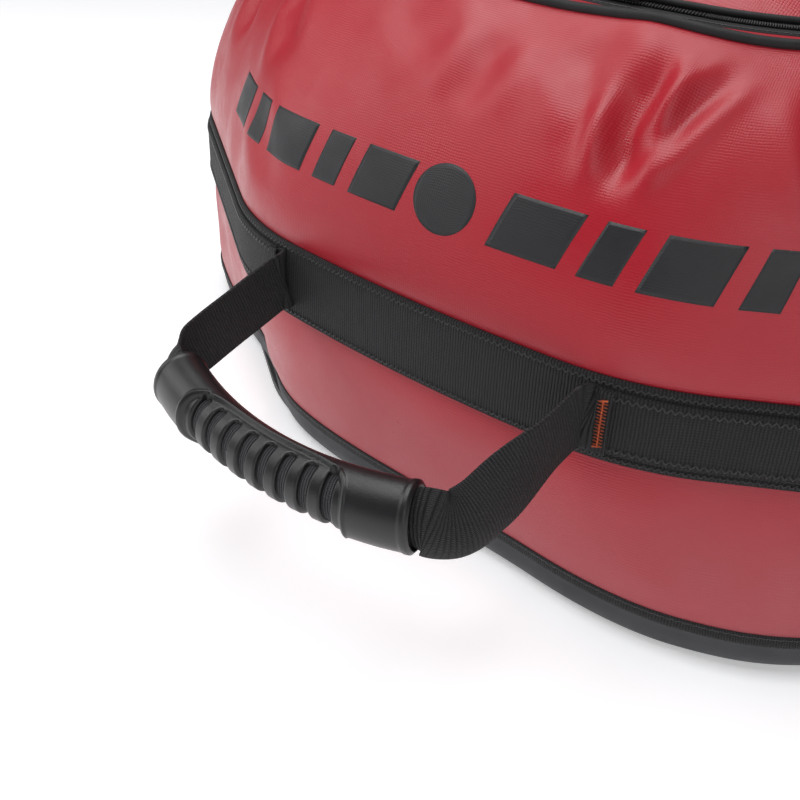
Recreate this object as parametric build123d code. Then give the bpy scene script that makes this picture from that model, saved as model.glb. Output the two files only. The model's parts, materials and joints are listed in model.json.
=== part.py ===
"""Kit bag of coated fabric: a flat black base, red walls with a webbing band round them, a
moulded grip on each long side and a zipped lid on top.

Millimetres. +X along the bag, -Y towards the front grip, +Z up. The origin is on the floor
under the middle of the bag.
"""

import math
import os

from build123d import *

# Plan of the walls: nearly flat long sides, slanting shoulders and round ends.
WALL_HALF_WIDTH = 165.0
WALL_SHOULDER_X = 250.0
WALL_CORNER_R = 140.0
TOP_HALF_WIDTH = 100.0
TOP_SHOULDER_X = 160.0
TOP_CORNER_R = 110.0
SIDE_R = 900.0
SIDE_ANGLE = 5.0
SHOULDER_ANGLE = 33.0

# Heights.
BASE_FLOOR = 1.6
BASE_EDGE_R = 11.0
BASE_TOP = 19.0
BAND_LOW = 79.0
BAND_WIDTH = 40.0
BAND_TOP = BAND_LOW + BAND_WIDTH
BAND_MID = BAND_LOW + BAND_WIDTH / 2
LEAN_R = 140.0
LEAN_ANGLE = 60.0
DECK_Z = BAND_TOP + LEAN_R * math.sin(math.radians(LEAN_ANGLE))

# Sheet thicknesses.
FABRIC = 1.2
BAND_THICK = 1.8
STRAP_WIDTH = 30.0
STRAP_THICK = 1.6
BOARD = 4.0

# Lid and zip, as insets from the deck's outline.
ZIP_TAPE_OUTER = 9.0
ZIP_COIL_OUTER = 16.0
ZIP_COIL_WIDTH = 1.4
ZIP_GAP = 0.5
ZIP_COIL_INNER = ZIP_COIL_OUTER + ZIP_COIL_WIDTH + ZIP_GAP
ZIP_TAPE_INNER = ZIP_COIL_INNER + ZIP_COIL_WIDTH
ZIP_TAPE_EDGE = ZIP_TAPE_INNER + 7.0
LID_INSET = ZIP_TAPE_INNER + 4.5
TAPE_THICK = 0.8
LID_REAR_Y = 58.0
LID_HINGE_Y = 58.8
DECK_FRONT_Y = 64.5
HINGE_TAPE_HALF_LENGTH = 118.0
LID_CROWN = 22.0
LID_EDGE = 4.0

# Long-side handles. Reaches are measured from the pivot line, straight out from the bag.
PIVOT_OUT = 12.0
ANCHOR_X = 96.0
ANCHOR_LENGTH = 4.6
BARTACK = (2.6, 0.8, 23.0)
BARTACK_X = 101.0
HANDLE_DROOP = 16.4
GRIP_HALF_SPAN = 73.0
GRIP_END_REACH = 72.0
GRIP_MID_REACH = 85.5
GRIP_BODY = (28.0, 23.0)
GRIP_COLLAR = (30.0, 25.0)
GRIP_BORE = (19.0, 11.0)
GRIP_SLOTS = 8
SLOT_PITCH = 11.2
SLOT_WIDTH = 4.8
SLOT_DEPTH = 6.4
SLOT_ROLL = 32.0
LEG_SECTION = (18.0, 10.0)
LEG_START_Y = -7.0
LEG_ELBOW = 14.0
LEG_BEND_R = 13.0

# Zip sliders.
SLIDER = (13.0, 9.0, 4.2)
SLIDER_X = 20.0
SLIDER_LIFT = 0.8
POST_HEIGHT = 4.3
PIN_HEIGHT = 2.4
PULL = (26.0, 8.0, 1.6)
PIN_R = 1.0
PIN_CLEARANCE = 0.06

WALL = (WALL_HALF_WIDTH, WALL_SHOULDER_X, WALL_CORNER_R)
TOP = (TOP_HALF_WIDTH, TOP_SHOULDER_X, TOP_CORNER_R)


def sine(angle):
    return math.sin(math.radians(angle))


def cosine(angle):
    return math.cos(math.radians(angle))


def plan_arcs(level):
    """Centre and radius of the side, corner and end arcs of one quarter of the outline."""
    half_width, shoulder_x, corner_r = level
    side_centre = (0.0, SIDE_R - half_width)
    side_x = SIDE_R * sine(SIDE_ANGLE)
    side_y = SIDE_R * (1 - cosine(SIDE_ANGLE)) - half_width
    corner_centre = (side_x - corner_r * sine(SIDE_ANGLE), side_y + corner_r * cosine(SIDE_ANGLE))
    corner_x = corner_centre[0] + corner_r * sine(SHOULDER_ANGLE)
    corner_y = corner_centre[1] - corner_r * cosine(SHOULDER_ANGLE)
    shoulder_y = corner_y + (shoulder_x - corner_x) * math.tan(math.radians(SHOULDER_ANGLE))
    end_r = -shoulder_y / cosine(SHOULDER_ANGLE)
    end_centre = (shoulder_x - end_r * sine(SHOULDER_ANGLE), 0.0)
    return (side_centre, SIDE_R), (corner_centre, corner_r), (end_centre, end_r)


def plan_wire(level, inset):
    """Closed outline at one level, moved inwards by the inset."""
    side, corner, end = plan_arcs(level)

    def point(arc, angle, x_sign=1, y_sign=1):
        (centre_x, centre_y), radius = arc
        reach = radius - inset
        return (x_sign * (centre_x + reach * sine(angle)), y_sign * (centre_y - reach * cosine(angle)))

    corner_mid = (SIDE_ANGLE + SHOULDER_ANGLE) / 2
    edges = []
    for y_sign in (1, -1):
        edges.append(ThreePointArc(point(side, SIDE_ANGLE, -1, y_sign), point(side, 0, 1, y_sign),
                                   point(side, SIDE_ANGLE, 1, y_sign)))
        for x_sign in (1, -1):
            corner_low = point(corner, SIDE_ANGLE, x_sign, y_sign)
            corner_high = point(corner, SHOULDER_ANGLE, x_sign, y_sign)
            edges.append(ThreePointArc(corner_low, point(corner, corner_mid, x_sign, y_sign), corner_high))
            edges.append(Line(corner_high, point(end, SHOULDER_ANGLE, x_sign, y_sign)))
    for x_sign in (1, -1):
        edges.append(ThreePointArc(point(end, SHOULDER_ANGLE, x_sign), point(end, 90, x_sign),
                                   point(end, SHOULDER_ANGLE, x_sign, -1)))
    return Wire.combine(edges)[0]


def plan_face(level, inset=0.0, z=0.0):
    return Pos(0, 0, z) * Face(plan_wire(level, inset))


def slab(level, inset, low, high):
    return extrude(plan_face(level, inset, low), high - low, dir=(0, 0, 1))


def ring(level, outer, inner, low, high):
    return slab(level, outer, low, high) - slab(level, inner, low, high)


def block(x, y, z):
    """Box between two bounds on each axis."""
    return Pos((x[0] + x[1]) / 2, (y[0] + y[1]) / 2, (z[0] + z[1]) / 2) * Box(
        x[1] - x[0], y[1] - y[0], z[1] - z[0])


def front_of(solid, limit_y):
    """The part of a solid in front of a plane across the bag."""
    return solid & block((-400, 400), (-400, limit_y), (-10, 400))


def wall_at(x, outset=0.0):
    """Y of the front wall beside the anchor, and the wall's turn there in degrees."""
    (centre_x, centre_y), radius = plan_arcs(WALL)[1]
    reach = radius + outset
    angle = math.degrees(math.asin((x - centre_x) / reach))
    return centre_y - reach * cosine(angle), angle


def base_panel():
    """Tray of black fabric with a rolled lower edge."""
    tray = slab(WALL, 0, 0, BASE_TOP)
    tray = fillet(tray.edges().group_by(Axis.Z)[0], BASE_EDGE_R)
    hollow = slab(WALL, BASE_FLOOR, BASE_FLOOR, BASE_TOP + 1)
    hollow = fillet(hollow.edges().group_by(Axis.Z)[0], BASE_EDGE_R - BASE_FLOOR)
    return tray - hollow


def base_board():
    """Stiffening board that lies loose in the tray."""
    return slab(WALL, BASE_EDGE_R + 1, BASE_FLOOR, BASE_FLOOR + BOARD)


def lean_section(angle, inset):
    """Wall outline where the upper wall has leaned by an angle."""
    share = (1 - cosine(angle)) / (1 - cosine(LEAN_ANGLE))
    level = tuple(low + (high - low) * share for low, high in zip(WALL, TOP))
    return plan_face(level, inset, BAND_TOP + LEAN_R * sine(angle))


def upper_wall():
    """Wall above the band, which leans in as it rises to the deck."""
    angles = [LEAN_ANGLE * step / 4 for step in range(5)]
    outer = loft([lean_section(angle, 0) for angle in angles])
    inner = loft([lean_section(angle, FABRIC) for angle in angles])
    return outer - inner


def deck():
    """Fixed top panel round the lid, with the wide strip behind the lid's hinge."""
    whole = slab(TOP, 0, DECK_Z, DECK_Z + FABRIC)
    opening = front_of(slab(TOP, ZIP_TAPE_OUTER, DECK_Z - 1, DECK_Z + 5), DECK_FRONT_Y)
    return whole - opening


def hinge_tape():
    """Tape under the gap where the lid's rear edge folds."""
    return block((-HINGE_TAPE_HALF_LENGTH, HINGE_TAPE_HALF_LENGTH), (LID_REAR_Y - 2, DECK_FRONT_Y + 3),
                 (DECK_Z - 1.2, DECK_Z - 0.3))


def zip_strip(outer, inner, thick, rear_y=LID_REAR_Y):
    """Length of tape or coil round the front and both ends of the lid."""
    return front_of(ring(TOP, outer, inner, DECK_Z, DECK_Z + thick), rear_y)


def lid_shape(shrink):
    """Crowned pillow on the lid's plan: the part common to two wide barrels."""
    front_y = LID_INSET - TOP_HALF_WIDTH
    middle_y = (front_y + LID_REAR_Y) / 2
    half_width = (LID_REAR_Y - front_y) / 2
    (end_x, _), end_r = plan_arcs(TOP)[2]
    half_length = end_x + end_r - LID_INSET
    body = front_of(slab(TOP, LID_INSET + shrink, DECK_Z + TAPE_THICK, DECK_Z + 60),
                    LID_REAR_Y - shrink)
    rise = LID_CROWN - LID_EDGE
    for half, turn in ((half_width, (0, 90, 0)), (half_length, (90, 0, 0))):
        radius = (half**2 + rise**2) / (2 * rise)
        barrel = Pos(0, middle_y, DECK_Z + LID_CROWN - radius) * Rot(*turn) * Cylinder(radius - shrink, 900)
        body = body & barrel
    return body


def lid_panel():
    return lid_shape(0) - Pos(0, 0, -0.01) * lid_shape(FABRIC + 0.2)


def grip_radius():
    """Radius of the grip's centre line, from its span and its bow."""
    bow = GRIP_MID_REACH - GRIP_END_REACH
    return (GRIP_HALF_SPAN**2 + bow**2) / (2 * bow)


def grip_turn(section, arc_from, arc_to):
    """Oval section turned about the grip's centre, between two lengths along its centre line."""
    radius = grip_radius()
    centre_y = radius - GRIP_MID_REACH
    per_mm = math.degrees(1 / radius)
    face = Plane.YZ * Pos(-radius, 0) * Ellipse(section[1] / 2, section[0] / 2)
    turned = revolve(face, Axis.Z, (arc_to - arc_from) * per_mm)
    return Pos(0, centre_y, 0) * Rot(0, 0, arc_from * per_mm) * turned


def grip_half_length():
    return grip_radius() * math.asin(GRIP_HALF_SPAN / grip_radius())


def grip():
    """Moulded sleeve: oval tube with a larger collar at each end and slots across its outside."""
    half = grip_half_length()
    slotted = GRIP_SLOTS * SLOT_PITCH / 2 + 2
    sleeve = grip_turn(GRIP_BODY, -slotted, slotted)
    sleeve += grip_turn(GRIP_COLLAR, -half, -slotted)
    sleeve += grip_turn(GRIP_COLLAR, slotted, half)
    sleeve -= grip_turn(GRIP_BORE, -half - 1, half + 1)
    radius = grip_radius()
    per_mm = math.degrees(1 / radius)
    for index in range(GRIP_SLOTS):
        along = (index - (GRIP_SLOTS - 1) / 2) * SLOT_PITCH
        cutter = Pos(0, -GRIP_BODY[1] / 2, 0) * Box(SLOT_WIDTH, 2 * SLOT_DEPTH, GRIP_BODY[0] - 8)
        cutter = Pos(0, -radius, 0) * Rot(-SLOT_ROLL, 0, 0) * cutter
        sleeve -= Pos(0, radius - GRIP_MID_REACH, 0) * Rot(0, 0, along * per_mm) * cutter
    return sleeve


def leg(side):
    """Webbing rolled into a round leg, from the grip's mouth to just short of the pivot."""
    tangent = math.degrees(math.asin(GRIP_HALF_SPAN / grip_radius()))
    mouth = (side * GRIP_HALF_SPAN, -GRIP_END_REACH)
    elbow = (mouth[0] + side * LEG_ELBOW * cosine(tangent), mouth[1] + LEG_ELBOW * sine(tangent))
    path = FilletPolyline(mouth, elbow, (side * (ANCHOR_X - 1), LEG_START_Y), radius=LEG_BEND_R)
    start = Plane(origin=(*mouth, 0), x_dir=(0, 0, 1), z_dir=path % 0)
    return sweep(start * Ellipse(LEG_SECTION[0] / 2, LEG_SECTION[1] / 2), path)


def handle_core():
    """One length of webbing: through the grip, and out of each mouth to the pivot line."""
    half = grip_half_length()
    return leg(-1) + grip_turn(LEG_SECTION, -half, half) + leg(1)


def pivot_y():
    """Y of the front handle's pivot line."""
    return wall_at(ANCHOR_X)[0] - PIVOT_OUT


def at_front(solid):
    """Hangs a handle part on the front pivot line, drooping as it rests."""
    return Pos(0, pivot_y(), BAND_MID) * Rot(HANDLE_DROOP, 0, 0) * solid


def on_far_side(solid):
    return Rot(0, 0, 180) * solid


def side_strap(side):
    """Narrower webbing sewn along the band, from a front anchor round the end to a rear one."""
    low = BAND_MID - STRAP_WIDTH / 2
    whole = ring(WALL, -BAND_THICK - STRAP_THICK, -BAND_THICK, low, low + STRAP_WIDTH)
    span = (ANCHOR_X, 400) if side > 0 else (-400, -ANCHOR_X)
    return whole & block(span, (-400, 400), (0, 200))


def handle_anchors():
    """Stubs of webbing that stand out of the band where a handle leaves it."""
    stub_x = ANCHOR_X - STRAP_THICK
    front_y = wall_at(stub_x, BAND_THICK)[0] - 0.3
    stub = Box(STRAP_THICK, ANCHOR_LENGTH, STRAP_WIDTH)
    places = [Pos(side * stub_x, front_y - ANCHOR_LENGTH / 2, BAND_MID) for side in (-1, 1)]
    return places[0] * stub + places[1] * stub


def bartacks():
    """Dense stitched bars that hold a handle's webbing beside each anchor."""
    wall_y, angle = wall_at(BARTACK_X, BAND_THICK + STRAP_THICK + BARTACK[1] / 2 + 0.02)
    bars = [Pos(side * BARTACK_X, wall_y, BAND_MID) * Rot(0, 0, side * angle) * Box(*BARTACK)
            for side in (-1, 1)]
    return bars[0] + bars[1]


def slider_y():
    """Y of the line between the two coils at the middle of the front."""
    return ZIP_COIL_OUTER + ZIP_COIL_WIDTH + ZIP_GAP / 2 - TOP_HALF_WIDTH


def slider_top():
    """Z of the slider body's top, from which its posts rise."""
    return DECK_Z + TAPE_THICK + SLIDER_LIFT + SLIDER[2] / 2


def zip_slider(side):
    """Slider body over the coils, with two posts that hold the pull's pin."""
    length, width, height = SLIDER
    body = fillet(Box(length, width, height / 2).edges().filter_by(Axis.Z), 2)
    slider = Pos(0, 0, slider_top() - height / 4) * body
    post = Box(2.6, 1.2, POST_HEIGHT)
    for y_sign in (-1, 1):
        slider += Pos(0, y_sign * (width / 2 - 1.6), slider_top() - 0.6 + POST_HEIGHT / 2) * post
    slider += Pos(0, 0, slider_top() + PIN_HEIGHT) * Rot(90, 0, 0) * Cylinder(PIN_R, width - 3)
    return Pos(side * SLIDER_X, slider_y(), 0) * slider


def zip_pull(side):
    """Flat pull with an eye round the slider's pin."""
    length, width, thick = PULL
    eye_r = PIN_R + 1.2
    eye = Rot(90, 0, 0) * (Cylinder(eye_r, 4.2) - Cylinder(PIN_R + PIN_CLEARANCE, 6))
    neck = Pos(eye_r + 0.5, 0, 0) * Box(1.8, 4.2, thick)
    blade = Pos(length / 2 + eye_r - 0.3, 0, 0) * fillet(
        Box(length, width, thick).edges().filter_by(Axis.Z), 2.5)
    turn = Rot(0, 0, 0 if side > 0 else 180)
    return Pos(side * SLIDER_X, slider_y(), slider_top() + PIN_HEIGHT) * turn * (eye + neck + blade)


def build():
    """Every sub-part by name."""
    front = {"grip": at_front(grip()), "handle_webbing": at_front(handle_core()),
             "handle_anchors": handle_anchors(), "bartacks": bartacks()}
    parts = {
        "base_panel": base_panel(),
        "base_board": base_board(),
        "base_binding": ring(WALL, -BAND_THICK, 0, BASE_TOP - 2, BASE_TOP + 2),
        "side_wall": ring(WALL, 0, FABRIC, BASE_TOP, BAND_TOP),
        "upper_wall": upper_wall(),
        "wall_band": ring(WALL, -BAND_THICK, 0, BAND_LOW, BAND_TOP),
        "left_strap": side_strap(-1),
        "right_strap": side_strap(1),
        "deck": deck(),
        "lid_hinge_tape": hinge_tape(),
        "outer_zip_tape": zip_strip(ZIP_TAPE_OUTER, ZIP_COIL_OUTER, TAPE_THICK),
        "outer_zip_coil": zip_strip(ZIP_COIL_OUTER, ZIP_COIL_OUTER + ZIP_COIL_WIDTH, 1.4),
        "inner_zip_coil": zip_strip(ZIP_COIL_INNER, ZIP_TAPE_INNER, 1.4, LID_REAR_Y - 3),
        "inner_zip_tape": zip_strip(ZIP_TAPE_INNER, ZIP_TAPE_EDGE, TAPE_THICK),
        "lid_panel": lid_panel(),
    }
    for name, solid in front.items():
        parts["front_" + name] = solid
        parts["rear_" + name] = on_far_side(solid)
    for name, side in (("left", -1), ("right", 1)):
        parts[name + "_zip_slider"] = zip_slider(side)
        parts[name + "_zip_pull"] = zip_pull(side)
    return parts


if __name__ == "__main__":
    os.makedirs("parts", exist_ok=True)
    for part_name, part_solid in build().items():
        export_step(part_solid, f"parts/{part_name}.step")
    print("handle pivot", pivot_y(), BAND_MID)
    print("pull pin", slider_y(), slider_top() + PIN_HEIGHT, "deck", DECK_Z)
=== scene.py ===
"""Looks of a soft kit bag: coated-fabric walls, webbing band and straps, moulded grips, zipped lid.

Laid out as an add-on. Sizes are metres in the frame's own axes: +X along the bag, -Y towards the
front grip, +Z up.
"""

import json
import math

import bpy
import numpy as np
from mathutils import Matrix, Vector


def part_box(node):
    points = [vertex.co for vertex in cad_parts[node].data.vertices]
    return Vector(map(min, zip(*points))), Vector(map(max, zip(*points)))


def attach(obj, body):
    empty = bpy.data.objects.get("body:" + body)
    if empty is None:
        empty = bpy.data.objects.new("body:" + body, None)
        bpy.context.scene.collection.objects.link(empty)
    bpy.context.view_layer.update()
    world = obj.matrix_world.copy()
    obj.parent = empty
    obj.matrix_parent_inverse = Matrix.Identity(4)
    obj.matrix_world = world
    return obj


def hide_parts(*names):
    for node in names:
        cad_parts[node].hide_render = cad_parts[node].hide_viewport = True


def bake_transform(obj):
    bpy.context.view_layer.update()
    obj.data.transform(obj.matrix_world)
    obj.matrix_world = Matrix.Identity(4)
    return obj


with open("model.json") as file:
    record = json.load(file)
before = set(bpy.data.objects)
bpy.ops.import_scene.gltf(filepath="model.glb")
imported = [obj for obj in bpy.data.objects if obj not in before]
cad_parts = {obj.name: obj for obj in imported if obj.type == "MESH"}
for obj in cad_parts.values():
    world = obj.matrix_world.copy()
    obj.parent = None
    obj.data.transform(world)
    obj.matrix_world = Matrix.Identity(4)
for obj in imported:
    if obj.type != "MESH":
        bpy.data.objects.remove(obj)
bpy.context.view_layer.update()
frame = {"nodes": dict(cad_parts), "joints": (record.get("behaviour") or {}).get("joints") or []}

bl_info = {
    "name": "Kit Bag",
    "version": (1, 0, 0),
    "blender": (4, 5, 0),
    "location": "View3D > Sidebar > Kit Bag",
    "description": "Builds the fabric, webbing, grips and zip of a soft kit bag on its frame",
    "category": "Object",
}

MM = 0.001

# Heights and widths read from the frame.
WALL_LOW, WALL_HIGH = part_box("side_wall")
BAND_LOW, BAND_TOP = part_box("wall_band")[0].z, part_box("wall_band")[1].z
BAND_MID = (BAND_LOW + BAND_TOP) / 2
BASE_TOP = WALL_LOW.z
DECK_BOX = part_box("deck")
DECK_Z = DECK_BOX[0].z
STRAP_LOW, STRAP_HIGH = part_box("right_strap")[0].z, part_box("right_strap")[1].z
LID_REAR_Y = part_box("lid_panel")[1].y
DECK_FRONT_Y = LID_REAR_Y + 6.5 * MM
JOINTS = {joint["name"]: joint for joint in frame["joints"]}
PIVOT_Y = JOINTS["front_handle_swing"]["pos_m"][1]

# Plan of the bag: nearly flat sides, slanting shoulders and round ends.
SIDE_R = 900 * MM
SIDE_ANGLE = math.radians(5)
SHOULDER_ANGLE = math.radians(33)
LEAN_R = 140 * MM
LEAN_ANGLE = math.radians(60)
WALL = (WALL_HIGH.y, WALL_HIGH.x, 140 * MM)
TOP = (DECK_BOX[1].y, DECK_BOX[1].x, 110 * MM)

BAND_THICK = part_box("wall_band")[1].y - WALL_HIGH.y
STRAP_THICK = 1.6 * MM
FABRIC = 1.2 * MM

# Grip and handle, in the plane of the handle.
DROOP = math.radians(16.4)
GRIP_HALF_SPAN = 73 * MM
GRIP_END_REACH = 72 * MM
GRIP_BOW = 13.5 * MM
GRIP_R = (GRIP_HALF_SPAN**2 + GRIP_BOW**2) / (2 * GRIP_BOW)
GRIP_HALF = GRIP_R * math.asin(GRIP_HALF_SPAN / GRIP_R)
SLOT_PITCH = 11.2 * MM

# Sunken field of the grip: half its length, how far it and its slots reach round, and its turn down.
FIELD_HALF = 49 * MM
FIELD_REACH, SLOT_REACH, FIELD_TURN = math.radians(106), math.radians(75), math.radians(9)

# Where a handle's webbing leaves the band, and its stitched bars: distances from the middle.
RIGHT_FOLD, LEFT_FOLD = 96 * MM, 84 * MM
RIGHT_BARTACK, LEFT_BARTACK = 101.5 * MM, 88 * MM

# Insets of the zip from the deck's outline.
ZIP_TAPE_OUTER = 9 * MM
ZIP_MIDDLE = 17.65 * MM
ZIP_TAPE_INNER = 26.3 * MM


# ---------------------------------------------------------------- plan and walls

def plan_arcs(level):
    """Arcs of one quarter of the plan: corner centre, corner radius, end centre X, end radius."""
    half_width, half_length, corner_r = level
    side_x = SIDE_R * math.sin(SIDE_ANGLE)
    side_y = SIDE_R * (1 - math.cos(SIDE_ANGLE)) - half_width
    corner_x = side_x - corner_r * math.sin(SIDE_ANGLE)
    corner_y = side_y + corner_r * math.cos(SIDE_ANGLE)
    foot_x = corner_x + corner_r * math.sin(SHOULDER_ANGLE)
    foot_y = corner_y - corner_r * math.cos(SHOULDER_ANGLE)
    slope_sin, slope_cos = math.sin(SHOULDER_ANGLE), math.cos(SHOULDER_ANGLE)
    end_r = (-foot_y * slope_cos - (half_length - foot_x) * slope_sin) / (1 - slope_sin)
    return corner_x, corner_y, half_length - end_r, end_r


def quarter_lengths():
    """Lengths of the side arc, corner arc, shoulder and end arc of the walls' widest plan."""
    corner_x, corner_y, end_x, end_r = plan_arcs(WALL)
    start = np.array((corner_x, corner_y)) + WALL[2] * np.array((math.sin(SHOULDER_ANGLE),
                                                                 -math.cos(SHOULDER_ANGLE)))
    stop = np.array((end_x, 0)) + end_r * np.array((math.sin(SHOULDER_ANGLE), -math.cos(SHOULDER_ANGLE)))
    return np.array((SIDE_R * SIDE_ANGLE, WALL[2] * (SHOULDER_ANGLE - SIDE_ANGLE),
                     np.hypot(*(stop - start)), end_r * (math.pi / 2 - SHOULDER_ANGLE)))


QUARTER = quarter_lengths()
ROUND = 4 * QUARTER.sum()


def outline(level, along, inset=0.0):
    """Plan points at lengths along the widest outline, from the front's middle towards +X."""
    half_width, _, corner_r = level
    corner_x, corner_y, end_x, end_r = plan_arcs(level)
    turns = (np.asarray(along, float) / QUARTER.sum()) % 4
    side = np.floor(turns)
    share = turns - side
    run = np.where(side % 2 == 1, 1 - share, share) * QUARTER.sum()
    marks = np.cumsum(QUARTER)
    part = [np.clip((run - mark + length) / length, 0, 1) for mark, length in zip(marks, QUARTER)]
    angle = (SIDE_ANGLE * part[0] + (SHOULDER_ANGLE - SIDE_ANGLE) * part[1]
             + (math.pi / 2 - SHOULDER_ANGLE) * part[3])
    out_x, out_y = np.sin(angle), -np.cos(angle)
    side_x, side_y = (SIDE_R - inset) * out_x, SIDE_R - half_width + (SIDE_R - inset) * out_y
    turn_x, turn_y = corner_x + (corner_r - inset) * out_x, corner_y + (corner_r - inset) * out_y
    cap_x, cap_y = end_x + (end_r - inset) * out_x, (end_r - inset) * out_y
    x = np.where(run < marks[0], side_x, np.where(run < marks[2], turn_x + (cap_x - turn_x) * part[2], cap_x))
    y = np.where(run < marks[0], side_y, np.where(run < marks[2], turn_y + (cap_y - turn_y) * part[2], cap_y))
    flip_x = np.where(side >= 2, -1.0, 1.0)
    flip_y = np.where((side == 1) | (side == 2), -1.0, 1.0)
    return x * flip_x, y * flip_y


def base_shift(along):
    """How far the slack base stands out beside each long side's right-hand end, and in at the left."""
    place = (np.asarray(along, float) + ROUND / 4) % (ROUND / 2) - ROUND / 4
    out = np.exp(-((place - 175 * MM) / (75 * MM)) ** 2)
    tucked = np.exp(-((place + 150 * MM) / (60 * MM)) ** 2)
    return bpy.context.scene.kit_bag.base_slack * (out - 0.5 * tucked)


def wall_base(along, height):
    """Smooth wall point at a length round the bag and a developed height above the floor."""
    drop = np.clip((BAND_LOW - height) / (BAND_LOW - BASE_TOP), 0, 1)
    lean = np.clip((height - BAND_TOP) / LEAN_R, 0, None)
    share = (1 - np.cos(lean)) / (1 - math.cos(LEAN_ANGLE))
    level = [low + (high - low) * share for low, high in zip(WALL, TOP)]
    x, y = outline(level, along, -base_shift(along) * drop**1.3)
    z = np.where(lean > 0, BAND_TOP + LEAN_R * np.sin(lean), height)
    return np.stack((x, y, z), -1)


def unit(vectors):
    """The same directions with length one."""
    return vectors / np.maximum(np.linalg.norm(vectors, axis=-1, keepdims=True), 1e-12)


def waves(points, size, seed, count=6):
    """Smooth seeded unevenness from -1 to 1 with features of about the given size."""
    draw = np.random.default_rng(seed)
    total = np.zeros(points.shape[:-1])
    for _ in range(count):
        direction = unit(draw.normal(size=3))
        total += np.sin(points @ direction * (2 * math.pi / size) * draw.uniform(0.7, 1.4)
                        + draw.uniform(0, 2 * math.pi))
    return total / count


def step(value, low, high):
    """Smooth rise from 0 at low to 1 at high."""
    share = np.clip((value - low) / (high - low), 0, 1)
    return share * share * (3 - 2 * share)


def crease(along, height, start, stop, width, depth):
    """Soft furrow between two places on the wall, deepest at its middle."""
    along = (along + ROUND / 2) % ROUND - ROUND / 2
    run = np.array(stop) - np.array(start)
    length = np.hypot(*run)
    share = ((along - start[0]) * run[0] + (height - start[1]) * run[1]) / length**2
    off = ((along - start[0]) * run[1] - (height - start[1]) * run[0]) / length
    fade = np.exp(-((share - 0.5) / 0.42) ** 4)
    banks = 0.5 * np.exp(-(((np.abs(off) - 1.8 * width) / (0.8 * width)) ** 2))
    return depth * (banks - np.exp(-((off / width) ** 2))) * fade


# Folds beside the deck and slack places on the walls: from, to, width and depth in millimetres.
WALL_CREASES = [
    ((76, 252), (82, 190), 7, 6.5), ((62, 250), (80, 196), 5, 2.0), ((112, 250), (84, 198), 6, 3.0),
    ((150, 250), (175, 200), 10, 3.0), ((4, 245), (2, 205), 9, 2.2),
    ((-135, 178), (-96, 142), 11, 1.8),
    ((40, 250), (70, 222), 12, 2.6), ((-60, 252), (-20, 226), 12, 2.2), ((-150, 240), (-120, 200), 12, 3.0),
    ((230, 235), (215, 190), 13, 3.6), ((-250, 235), (-225, 185), 13, 3.4), ((300, 225), (330, 170), 14, 3.0),
    ((-330, 225), (-345, 165), 14, 3.0), ((60, 58), (20, 36), 16, 1.1), ((130, 60), (175, 34), 14, 1.4),
    ((-120, 60), (-160, 34), 14, 1.4), ((230, 62), (260, 30), 16, 1.6), ((-260, 62), (-230, 30), 16, 1.4),
]


def relief(along, height, points):
    """How far the fabric stands off the smooth wall: slack between seams, folds near the deck."""
    settings = bpy.context.scene.kit_bag
    free = step(height, BAND_TOP, BAND_TOP + 30 * MM) + step(BAND_LOW - height, 0, 22 * MM)
    free *= step(height, BASE_TOP, BASE_TOP + 16 * MM)
    above = (height - BAND_TOP) / (16 * MM)
    below = (BAND_LOW - height) / (16 * MM)
    puff = sum(np.where(away > 0, away * np.exp(1 - away), 0) for away in (above, below))
    swell = settings.puff * puff * step(height, BASE_TOP, BASE_TOP + 14 * MM)
    slack = waves(points, 210 * MM, 3) * 1.5 * MM + waves(points, 80 * MM, 5) * 0.45 * MM
    folds = np.zeros(points.shape[:-1])
    for start, stop, width, depth in WALL_CREASES:
        for turn in (0, ROUND / 2):
            folds += crease(along - turn, height, np.array(start) * MM, np.array(stop) * MM,
                            width * MM, depth * MM)
    gather = step(height, 205 * MM, 262 * MM) * waves(points * (1, 1, 0.25), 75 * MM, 11) * 2.2 * MM
    return swell + free * (slack + settings.fold_share * (folds + gather))


def wall_point(along, height, lift=0.0):
    """Wall point with its folds, lifted off the fabric."""
    along, height = np.broadcast_arrays(np.asarray(along, float), np.asarray(height, float))
    near = 0.25 * MM
    base = wall_base(along, height)
    across = wall_base(along + near, height) - wall_base(along - near, height)
    upward = wall_base(along, height + near) - wall_base(along, height - near)
    normal = unit(np.cross(across, upward))
    return base + normal * (relief(along, height, base) + lift)[..., None]


# ---------------------------------------------------------------- mesh helpers

def grid_object(name, points, lay_u, lay_v, material, wrap_u=False, wrap_v=False):
    """Mesh over a grid of points, with its lengths along and across kept as a UV map named lay."""
    count_u, count_v = points.shape[:2]
    rows = count_u if wrap_u else count_u - 1
    columns = count_v if wrap_v else count_v - 1
    i, j = np.meshgrid(np.arange(rows), np.arange(columns), indexing="ij")
    i, j = i.ravel(), j.ravel()
    corners = [(i, j), (i + 1, j), (i + 1, j + 1), (i, j + 1)]
    faces = np.stack([(a % count_u) * count_v + b % count_v for a, b in corners], -1)
    lay = np.stack([np.stack((lay_u[a], lay_v[b]), -1) for a, b in corners], 1)
    mesh = bpy.data.meshes.new(name)
    mesh.from_pydata(points.reshape(-1, 3).tolist(), [], faces.tolist())
    mesh.uv_layers.new(name="lay").data.foreach_set("uv", lay.astype(np.float32).ravel())
    mesh.shade_smooth()
    mesh.materials.append(material)
    piece = bpy.data.objects.new(name, mesh)
    bpy.context.scene.collection.objects.link(piece)
    return piece


def lengths(points):
    """Running length along a line of points."""
    return np.concatenate(([0.0], np.cumsum(np.linalg.norm(np.diff(points, axis=0), axis=1))))


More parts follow.
